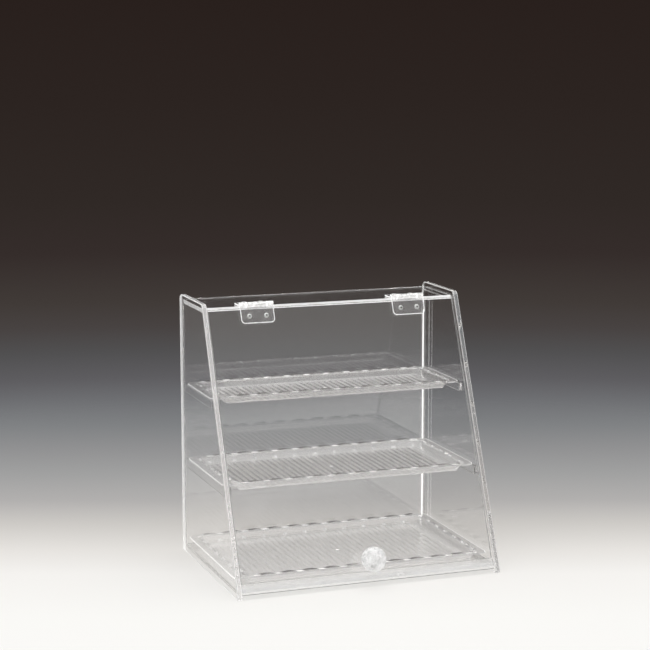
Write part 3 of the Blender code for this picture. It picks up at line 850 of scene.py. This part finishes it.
def build_knob_screw():
    """Screw from inside the door into the knob; z = 0 at the door's outer face."""
    seat = 5.0 * MM
    rows = [(0.0, -14.0 * MM), (1.2 * MM, -14.0 * MM)]
    for i in range(24):  # rolled thread, drawn as shallow rings
        z = -13.6 * MM + i * 0.56 * MM
        rows += [(1.72 * MM, z), (2.0 * MM, z + 0.28 * MM)]
    rows += [
        (1.85 * MM, 0.2 * MM),
        (1.85 * MM, seat + 0.3 * MM),
        (3.95 * MM, seat + 0.3 * MM),
        (4.2 * MM, seat + 0.55 * MM),
    ]
    for i in range(7):  # rounded head
        a = math.pi / 2 * i / 6
        rows.append(((2.9 + 1.3 * math.cos(a)) * MM, seat + (1.4 + 1.1 * math.sin(a)) * MM))
    rows += [  # hexagonal recess
        (1.5 * MM, seat + 2.5 * MM, 6),
        (1.4 * MM, seat + 2.35 * MM, 6),
        (1.4 * MM, seat + 1.2 * MM, 6),
        (0.0, seat + 0.9 * MM),
    ]
    matrix = on_door_face(DOOR_FACE_Y)
    obj = turned("knob_screw", "door", rows, matrix, STEEL, segments=48,
                 sharp=30)
    darken_recess(obj, matrix, radius=1.38 * MM, beyond=seat, side=1)


# ------------------------------------------------------------------ hinges

HALF_WIDTH = HINGE_WIDTH / 2
END_INNER = HALF_WIDTH - END_KNUCKLE
MIDDLE_END = END_INNER - KNUCKLE_GAP
PAST_END = HALF_WIDTH + 1 * MM

# Knuckles of each leaf, and the stretches cleared for the other leaf's, as (low x, high x)
DOOR_KNUCKLES = [(-HALF_WIDTH, -END_INNER), (END_INNER, HALF_WIDTH)]
DOOR_CLEARED = [(-END_INNER, END_INNER)]
FRAME_KNUCKLES = [(-MIDDLE_END, MIDDLE_END)]
FRAME_CLEARED = [(-PAST_END, -MIDDLE_END), (MIDDLE_END, PAST_END)]

# Turns a hanging leaf to lie backwards: its y points down and its z to the front
LAY_BACK = Matrix(((-1, 0, 0, 0), (0, 0, -1, 0), (0, -1, 0, 0), (0, 0, 0, 1)))


def leaf_slot(polygon):
    """0 on the flat faces, 1 on rims and knuckle ends, 2 on the barrel."""
    if polygon.center.z > -4.5 * MM:
        return 2 if abs(polygon.normal.x) < 0.5 else 1
    return 0 if abs(polygon.normal.y) > 0.99 else 1


def leaf_piece(name, body, knuckles, cleared, seat, matrix):
    """Moulded leaf: rounded plate hanging down local -z from the pin line, its seat facing
    local y, with knuckles that sweep into it, pin bore and screw holes."""
    points = rectangle(-HALF_WIDTH, -LEAF_LENGTH, HALF_WIDTH, 0.0)
    radii = [LEAF_CORNER_R, LEAF_CORNER_R, LEAF_PIN_CORNER_R, LEAF_PIN_CORNER_R]
    outer = seat - LEAF_T
    bm = slab(points, radii, outer, seat, LEAF_EDGE_R, "y", steps=10)
    obj = new_object(name, finish_mesh(bm, name))
    x_axis = Matrix.Rotation(math.pi / 2, 4, "Y")
    cut(obj, [rod(BARREL_R + BARREL_CLEARANCE, low, high, x_axis, segments=64)
              for low, high in cleared])
    sweep = [  # (y, z), from inside the plate round to the barrel
        (seat - 0.5 * MM, -0.5 * MM),
        (seat - 0.5 * MM, -6.4 * MM),
        (outer + 0.02 * MM, -6.4 * MM),
        (outer - 0.04 * MM, -5.2 * MM),
        (outer - 0.2 * MM if seat < 1e-6 else -0.2 * MM, -3.6 * MM),
        (-2.6 * MM, -1.4 * MM),
    ]
    for low, high in knuckles:
        cut(obj, [
            rod(BARREL_R, low, high, x_axis, segments=64, chamfer=0.3 * MM),
            prism(sweep, low + 0.02 * MM, high - 0.02 * MM),
        ], "UNION")
    bore_half = HALF_WIDTH + 2 * MM
    bores = [rod(BORE_R, -bore_half, bore_half, x_axis, segments=32)]
    bores += [rod(SCREW_HOLE_R, -0.01, 0.01, aim((dx, seat, -SCREW_FROM_AXIS), (0, 1, 0)))
              for dx in SCREW_OFFSETS]
    cut(obj, bores)
    mesh = obj.data
    mesh.materials.clear()
    for material in (HINGE, HINGE_RIM, BARREL):
        mesh.materials.append(material)
    for polygon in mesh.polygons:
        polygon.material_index = leaf_slot(polygon)
    mesh.transform(matrix)
    shade(mesh, 28)
    register(obj, name, body)
    weight_normals(obj)


def pin_piece(name, matrix):
    half = HALF_WIDTH - PIN_INSET
    rows = [
        (0.0, -half),
        (PIN_R * 0.6, -half + 0.05 * MM),
        (PIN_R, -half + 0.35 * MM),
        (PIN_R, half - 0.35 * MM),
        (PIN_R * 0.6, half - 0.05 * MM),
        (0.0, half),
    ]
    turned(name, "case", rows, matrix @ Matrix.Rotation(math.pi / 2, 4, "Y"), NYLON,
           segments=32)


def screw_piece(name, body, matrix):
    """Pan-head screw: local z runs into the work, its seat at z = 0."""
    top = -GAP - SCREW_HEAD_H
    rows = [  # hexagonal recess
        (0.0, top + 0.95 * MM),
        (0.95 * MM, top + 0.75 * MM, 6),
        (0.98 * MM, top + 0.1 * MM, 6),
        (1.1 * MM, top + 0.01 * MM, 6),
    ]
    for i in range(8):  # rounded head
        a = math.pi / 2 * i / 7
        rows.append(((2.1 + 1.0 * math.sin(a)) * MM, top + (0.9 - 0.9 * math.cos(a)) * MM))
    rows += [
        (3.1 * MM, -GAP - 0.15 * MM),
        (2.95 * MM, -GAP),
        (SCREW_SHANK_R, -GAP + 0.0001 * MM),
    ]
    thread_pitch = 0.5 * MM
    thread_end = SCREW_LENGTH - 1.2 * MM
    z = -GAP + thread_pitch
    while z < thread_end:
        rows += [(SCREW_SHANK_R - 0.18 * MM, z), (SCREW_SHANK_R, z + 0.25 * MM)]
        z += thread_pitch
    rows += [  # point
        (SCREW_SHANK_R - 0.2 * MM, SCREW_LENGTH - 0.7 * MM),
        (0.35 * MM, SCREW_LENGTH - 0.05 * MM),
        (0.0, SCREW_LENGTH),
    ]
    obj = turned(name, body, rows, matrix, STEEL, segments=48, sharp=30)
    darken_recess(obj, matrix, radius=1.0 * MM, beyond=top + 2.0 * MM, side=-1)


def build_hinge(word, sign):
    hinge = f"hinge_{word}"
    seat_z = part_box("top_panel")[1].z + GAP - AXIS.z  # frame leaf's seat, above the pin line
    on_door = DOOR @ Matrix.Translation((sign * HINGE_X, 0, 0))
    on_top = Matrix.Translation((sign * HINGE_X, AXIS.y, AXIS.z))
    leaf_piece(f"{hinge}_door_leaf", "door", DOOR_KNUCKLES, DOOR_CLEARED, 0.0, on_door)
    leaf_piece(f"{hinge}_frame_leaf", "case", FRAME_KNUCKLES, FRAME_CLEARED, -seat_z,
               on_top @ LAY_BACK)
    pin_piece(f"{hinge}_pin", on_top)
    for number, dx in enumerate(SCREW_OFFSETS, 1):
        screw_piece(f"{hinge}_door_screw_{number}", "door",
                    on_door @ aim((dx, -LEAF_T, -SCREW_FROM_AXIS), (0, 1, 0)))
        screw_piece(f"{hinge}_frame_screw_{number}", "case",
                    on_top @ aim((dx, SCREW_FROM_AXIS, seat_z + LEAF_T), DOWN))


# ------------------------------------------------------------------ trays

MOUTH_X = 145.5 * MM  # half width inside the rim
LIP = 5.4 * MM  # from the mouth to the outer edge, at the front and rear
MOUTH_R = 9.0 * MM
OUTER_R = MOUTH_R + 1.0 * MM
LOOP_STEP = 1.05 * MM
CORNER_STEPS = 16
FLOOR_DROP = 8.2 * MM  # floor below the rim
FLOOR_INSET = 8.4 * MM  # foot of the wall, inwards from the mouth
FLOOR_MARGIN = 2.4 * MM  # at least this much flat floor left and right of the ribs
RIB_END_MARGIN = 2.6 * MM  # flat floor in front of and behind the ribs
RIB_SAMPLES = 10

# Sections in mm: (offset outwards from the mouth, height above the rim)
INNER_WALL = [
    (-8.4, -8.2), (-7.2, -8.17), (-6.5, -8.0), (-5.95, -7.6), (-5.5, -6.9),
    (-4.6, -5.3), (-3.4, -3.2), (-2.3, -1.5), (-1.75, -0.75),
]
UNDERSIDE = [
    (1.2, -1.8), (0.3, -1.95), (-0.5, -2.6), (-1.6, -4.4), (-2.8, -6.3),
    (-3.9, -8.1), (-4.5, -9.1), (-5.3, -9.75), (-6.4, -10.0),
]
# Lip: (share of the way from the bead to the outer edge, height above the rim in mm)
LIP_SECTION = [
    (0.0, -0.32), (0.35, -0.32), (0.85, -0.32), (0.955, -0.38), (1.0, -0.7),
    (1.0, -1.45), (0.955, -1.76), (0.8, -1.8), (0.3, -1.8),
]
LIP_START = 3.4 * MM  # outwards from the mouth
BEAD = np.linspace(-1, 1, 13)  # stations over the rope bead, from the mouth outwards
BEAD_START = len(INNER_WALL)
BEAD_END = BEAD_START + len(BEAD)

# End of the ribs: (distance from their end in mm, share of the rib's height)
RIB_FADE = [(0.0, 0.0), (0.5, 0.5), (1.2, 0.86), (2.4, 1.0)]

# Material slots of a tray
BODY_SLOT, FLOOR_SLOT, LOBE_SHADE_SLOT, TIE_HIGHLIGHT_SLOT, BLOB_HIGHLIGHT_SLOT = range(5)


def loop_points(half_x, half_y, radius, steps_x, steps_y):
    """Points and outward normals of a rounded rectangle, counter-clockwise from the front
    edge's left end."""
    near_x, near_y = half_x - radius, half_y - radius
    # (start, end, outward normal, steps, centre of the corner after it, its first angle)
    sides = [
        ((-near_x, -half_y), (near_x, -half_y), (0, -1), steps_x, (near_x, -near_y), -90),
        ((half_x, -near_y), (half_x, near_y), (1, 0), steps_y, (near_x, near_y), 0),
        ((near_x, half_y), (-near_x, half_y), (0, 1), steps_x, (-near_x, near_y), 90),
        ((-half_x, near_y), (-half_x, -near_y), (-1, 0), steps_y, (-near_x, -near_y), 180),
    ]
    points, normals = [], []
    for start, end, outward, steps, centre, angle in sides:
        for i in range(steps + 1):
            t = i / steps
            points.append((start[0] + (end[0] - start[0]) * t,
                           start[1] + (end[1] - start[1]) * t))
            normals.append(outward)
        for i in range(1, CORNER_STEPS):
            a = math.radians(angle + 90 * i / CORNER_STEPS)
            normals.append((math.cos(a), math.sin(a)))
            points.append((centre[0] + radius * math.cos(a), centre[1] + radius * math.sin(a)))
    return np.array(points), np.array(normals)


def rope_phase(mouth):
    """Turns of the rope at each point round the mouth; a whole number fits the loop."""
    step = np.linalg.norm(np.roll(mouth, -1, axis=0) - mouth, axis=1)
    run = np.concatenate([[0.0], np.cumsum(step)[:-1]])
    total = step.sum()
    return run / total * round(total / ROPE_PITCH)


def rope_height(t, phase):
    """Height in mm of the rope bead at station t, for each point round the mouth."""
    twist = phase - ROPE_TWIST * t
    lobe = np.clip(1 - (((twist % 1.0) - 0.5) / 0.35) ** 2, 0.0, 1.0)
    dome = math.sqrt(max(0.0, 1 - abs(t) ** 2.2))
    base = -0.45 if t < 0 else -0.30
    return base * (1 - dome) + dome * (0.15 + 1.75 * lobe ** 0.8)


def tray_rows(mouth, outer, outward, phase):
    """Rows of (points, heights) from the floor over the rim to the underside."""
    def moulded(section):
        return [(mouth + outward * (offset * MM), np.full(len(mouth), z * MM))
                for offset, z in section]

    rows = moulded(INNER_WALL)
    for t in BEAD:
        offset = (0.8 + 2.35 * t) * MM
        rows.append((mouth + outward * offset, rope_height(t, phase) * MM))
    start = mouth + outward * LIP_START
    for share, z in LIP_SECTION:
        rows.append((start + (outer - start) * share, np.full(len(mouth), z * MM)))
    return rows + moulded(UNDERSIDE)


def wall_slot(name, row, normal, turn):
    """Slot of a face in the band after a row; turn is the rope's phase at its first point."""
    normal_x, normal_y = normal
    if BEAD_START <= row < BEAD_END - 1:
        station = row - BEAD_START
        t = (BEAD[station] + BEAD[station + 1]) / 2
        # turns from the middle of a lobe, at the face's own middle
        away = abs((turn + 0.5 / ROPE_STEPS - ROPE_TWIST * t) % 1.0 - 0.5)
        if abs(normal_y) > 0.97:  # front and rear
            # at the front and rear the lobes take painted shade and the ties between them
            # painted highlights
            if away < 0.31 and abs(t) < 0.8:
                return LOBE_SHADE_SLOT
            return TIE_HIGHLIGHT_SLOT if away > 0.37 and abs(t) < 0.9 else BODY_SLOT
        # shorter painted highlights along the sides
        if away > 0.3 and abs(t) < 0.8:  # shorter marks along the sides
            return BLOB_HIGHLIGHT_SLOT
        # painted shade on lobes along the bottom tray's right side
        dark = away < 0.2 and t > 0.1 and name == "tray_bottom" and normal_x > 0.97
        return LOBE_SHADE_SLOT if dark else BODY_SLOT
    if 2 <= row <= 4 and normal_y > 0.97 and name != "tray_top":
        # painted highlights along the foot of the rear wall
        return BLOB_HIGHLIGHT_SLOT if abs(turn % 1.0 - 0.5) > 0.4 else BODY_SLOT
    # painted highlight on the outer edge of the lip along the sides
    if BEAD_END + 2 <= row <= BEAD_END + 5 and abs(normal_x) > 0.7:
        return TIE_HIGHLIGHT_SLOT  # outer edge of the lip along the sides
    return BODY_SLOT


def floor_height(x, y, lift, fade):
    """Height in mm over the floor: ribs, and a gate mark with a low ring in the middle."""
    z = lift * fade
    r = math.hypot(x, y) / MM
    if r < 4.4:
        z = 0.45 * math.exp(-(((r - 3.0) / 0.55) ** 2)) + (0.10 if r < 1.4 else 0.0)
        if r > 3.6:
            blend = (r - 3.6) / 0.8
            z = z * (1 - blend) + lift * fade * blend
    return z


def ribbed_floor(bm, name, centre_y, mouth_y, floor_z):
    """Adds the ribbed field, and returns its grid of vertices."""
    floor_x, floor_y = MOUTH_X - FLOOR_INSET, mouth_y - FLOOR_INSET
    ribs = int((floor_x - FLOOR_MARGIN) / RIB_PITCH - 0.5)
    reach = ribs * RIB_SAMPLES + RIB_SAMPLES // 2
    columns = [
        (k * RIB_PITCH / RIB_SAMPLES,
         RIB_HEIGHT_MM[name] * (0.5 + 0.5 * math.cos(2 * math.pi * k / RIB_SAMPLES)))
        for k in range(-reach, reach + 1)
    ]
    end = floor_y - RIB_END_MARGIN
    stations = [(-end + inset * MM, fade) for inset, fade in RIB_FADE]
    stations += [(k * 0.5 * MM, 1.0) for k in range(-9, 10)]  # close rows for the gate mark
    stations += [(end - inset * MM, fade) for inset, fade in reversed(RIB_FADE)]
    grid = [
        [bm.verts.new((x, y + centre_y, floor_z + floor_height(x, y, lift, fade) * MM))
         for x, lift in columns]
        for y, fade in stations
    ]
    for near, far in zip(grid, grid[1:]):
        for i in range(len(columns) - 1):
            face = bm.faces.new((near[i], near[i + 1], far[i + 1], far[i]))
            at = face.calc_center_median()
            in_mark = math.hypot(at.x, at.y - centre_y) < 2.4 * MM
            # the moulded gate mark takes the painted highlight
            face.material_index = TIE_HIGHLIGHT_SLOT if in_mark else FLOOR_SLOT
    return grid


def fill_margin(bm, wall_foot, grid):
    """Flat floor between the foot of the wall and the ribbed field."""
    bm.verts.index_update()
    bm.edges.index_update()
    border = set(wall_foot) | set(grid[0]) | set(grid[-1])
    border |= {line[0] for line in grid} | {line[-1] for line in grid}
    open_edges = [e for e in bm.edges
                  if e.is_boundary and e.verts[0] in border and e.verts[1] in border]
    bmesh.ops.triangle_fill(bm, use_beauty=True, use_dissolve=False, edges=open_edges,
                            normal=(0, 0, 1))


def tray_piece(name):
    low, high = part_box(name)
    centre_y = (low.y + high.y) / 2
    half_x, half_y = (high.x - low.x) / 2, (high.y - low.y) / 2
    top = high.z
    mouth_y = half_y - LIP
    steps_x = round(2 * (MOUTH_X - MOUTH_R) / LOOP_STEP)
    steps_y = round(2 * (mouth_y - MOUTH_R) / LOOP_STEP)
    mouth, outward = loop_points(MOUTH_X, mouth_y, MOUTH_R, steps_x, steps_y)
    outer, _ = loop_points(half_x, half_y, OUTER_R, steps_x, steps_y)
    phase = rope_phase(mouth)

    bm = bmesh.new()
    rings = [
        [bm.verts.new((x, y + centre_y, top + z)) for (x, y), z in zip(flat, heights)]
        for flat, heights in tray_rows(mouth, outer, outward, phase)
    ]
    for row, (inner, following) in enumerate(zip(rings, rings[1:])):
        for face, normal, turn in zip(bridge(bm, inner, following), outward, phase):
            face.material_index = wall_slot(name, row, normal, turn)
    bm.faces.new(rings[-1])
    grid = ribbed_floor(bm, name, centre_y, mouth_y, top - FLOOR_DROP)
    fill_margin(bm, rings[0], grid)

    mesh = finish_mesh(bm, name, sharp=38)
    wall = TRAY_HIGH if name == "tray_top" else TRAY
    floor = TRAY_BASE if name == "tray_bottom" else TRAY_FLOOR
    for material in (wall, floor, TRAY_LOBE_PAINTED_SHADE, TRAY_TIE_PAINTED_HIGHLIGHT, TRAY_BLOB_PAINTED_HIGHLIGHT):
        mesh.materials.append(material)
    weight_normals(register(new_object(name, mesh), name, name))


# ------------------------------------------------------------------ floor, light and camera

CAMERA_AT = Vector((-0.7721, -2.0814, 0.6530))
YAW, PITCH, ROLL = math.radians(19.87), math.radians(-9.15), math.radians(-0.093)

# Pale-to-dark sweep: (degrees above the camera's horizon, sRGB)
BACKDROP = [
    (-22.0, (250, 249, 248)), (-18.0, (247, 246, 243)), (-16.7, (242, 240, 237)),
    (-16.0, (228, 225, 221)), (-15.2, (203, 200, 196)), (-14.5, (176, 174, 173)),
    (-13.7, (159, 159, 159)), (-13.0, (145, 145, 146)), (-12.2, (126, 128, 130)),
    (-11.4, (109, 110, 113)), (-10.7, (94, 93, 96)), (-9.9, (81, 80, 81)),
    (-9.15, (72, 67, 66)), (-8.4, (65, 59, 56)), (-6.9, (53, 45, 43)),
    (-5.3, (48, 41, 38)), (-2.3, (44, 36, 33)), (1.0, (41, 32, 29)), (4.0, (39, 31, 28)),
]


def backdrop_tone(graph, degrees):
    """Tone of the sweep at an angle above the camera's horizon."""
    lowest, highest = BACKDROP[0][0], BACKDROP[-1][0]
    share = graph.remap(degrees, source=(lowest, highest), target=(0.0, 1.0))
    stops = [((angle - lowest) / (highest - lowest), linear(*colour))
             for angle, colour in BACKDROP]
    return graph.ramp(share, stops)


def along_view(graph, x, y):
    """How far a point or direction lies along the camera's horizontal axis."""
    return graph.math("ADD", graph.math("MULTIPLY", x, math.sin(YAW)),
                      graph.math("MULTIPLY", y, math.cos(YAW)))


def make_world():
    world = bpy.data.worlds.new("studio")
    scene.world = world
    graph = Graph(world)
    x, y, z = graph.split(graph.coords("Generated"))
    elevation = graph.math("MULTIPLY", graph.math("ARCSINE", z), 180 / math.pi)
    along = along_view(graph, x, y)
    # towards the viewer the pale floor runs on further, so the whole ramp sits higher there
    front = graph.remap(along, source=(0.15, -0.55), target=(0.0, 10.0), smooth=True)
    tone = backdrop_tone(graph, graph.math("SUBTRACT", elevation, front))
    # behind the camera the room is darker
    room = graph.remap(along, source=(-0.25, -0.6), target=(1.0, 0.3), smooth=True)
    tone = graph.scale(tone, room)
    # the overhead softbox reaches lower on the viewer's side
    reach = graph.remap(along, source=(-0.2, -0.55), target=(0.0, 9.0), smooth=True)
    over = graph.remap(graph.math("ADD", elevation, reach), source=(46.0, 56.0),
                       target=(0.0, 1.0), smooth=True)
    white = (1.0, 1.0, 1.0, 1.0)
    sweep = graph.node("Background", {"Color": white, "Strength": 1.0})
    graph.link(tone, sweep.inputs["Color"])
    softbox = graph.add("Background", {"Color": white, "Strength": 2.6})
    graph.finish(graph.mix(over, sweep.outputs[0], softbox), "World")


def floor_material():
    """Paper sweep that darkens away from the camera and fades out at its border."""
    material, graph = new_material("pale_floor")
    coords = graph.coords("Object")
    x, y, _ = graph.split(coords)
    flat = graph.add("CombineXYZ", {"X": x, "Y": y})
    distance = graph.add("VectorMath", {0: flat}, output="Value", operation="LENGTH")
    share = graph.remap(distance, source=(0.95, 1.35), target=(1.0, 0.0), smooth=True)
    from_camera = -(CAMERA_AT.x * math.sin(YAW) + CAMERA_AT.y * math.cos(YAW))
    depth = graph.math("ADD", along_view(graph, x, y), from_camera)
    angle = graph.math("ARCTANGENT", graph.math("DIVIDE", -CAMERA_AT.z, depth))
    tone = backdrop_tone(graph, graph.math("MULTIPLY", angle, 180 / math.pi))
    near = graph.remap(depth, source=(1.80, 1.35), target=(1.0, 0.3), smooth=True)
    tone = graph.scale(tone, near)
    fibres = graph.noise(coords, scale=900.0, detail=3.0, roughness=0.6)
    grain = graph.remap(fibres, source=(0.35, 0.65), target=(0.93, 0.97))
    diffuse = graph.add("BsdfDiffuse", {"Color": graph.scale(tone, grain)})
    glow = graph.add("Emission", {"Color": tone, "Strength": 1.0})
    lit = graph.mix(0.75, diffuse, glow)
    graph.finish(graph.mix(share, graph.add("BsdfTransparent"), lit))
    return material


def make_floor():
    """Disc just under the case's feet."""
    bm = bmesh.new()
    bmesh.ops.create_circle(bm, cap_ends=True, segments=96, radius=1.4)
    bmesh.ops.transform(bm, matrix=Matrix.Translation((0, 0, -0.0001)), verts=bm.verts)
    mesh = bpy.data.meshes.new("floor")
    bm.to_mesh(mesh)
    bm.free()
    mesh.materials.append(floor_material())
    floor = bpy.data.objects.new("floor", mesh)
    scene.collection.objects.link(floor)


def make_camera():
    data = bpy.data.cameras.new("camera")
    data.lens = 103.66
    data.sensor_width = 36.0
    data.clip_start = 0.02
    data.clip_end = 100.0
    forward = Vector((math.sin(YAW) * math.cos(PITCH), math.cos(YAW) * math.cos(PITCH),
                      math.sin(PITCH)))
    level = Vector((math.cos(YAW), -math.sin(YAW), 0))
    upright = level.cross(forward)
    right = level * math.cos(ROLL) + upright * math.sin(ROLL)
    up = -level * math.sin(ROLL) + upright * math.cos(ROLL)
    camera = bpy.data.objects.new("camera", data)
    camera.matrix_world = Matrix((
        (right.x, up.x, -forward.x, CAMERA_AT.x),
        (right.y, up.y, -forward.y, CAMERA_AT.y),
        (right.z, up.z, -forward.z, CAMERA_AT.z),
        (0, 0, 0, 1),
    ))
    scene.collection.objects.link(camera)
    scene.camera = camera


def set_render():
    """Plain colours, and enough bounces to see through many clear layers."""
    scene.view_settings.view_transform = "Standard"
    scene.view_settings.look = "None"
    scene.cycles.max_bounces = 128
    scene.cycles.transmission_bounces = 128
    scene.cycles.glossy_bounces = 128
    scene.cycles.diffuse_bounces = 4
    scene.cycles.transparent_max_bounces = 48


build_case_sheets()
build_door_sheet()
build_knob()
build_knob_screw()
build_hinge("left", -1)
build_hinge("right", 1)
for level in ("top", "middle", "bottom"):
    tray_piece(f"tray_{level}")
make_world()
make_floor()
make_camera()
set_render()
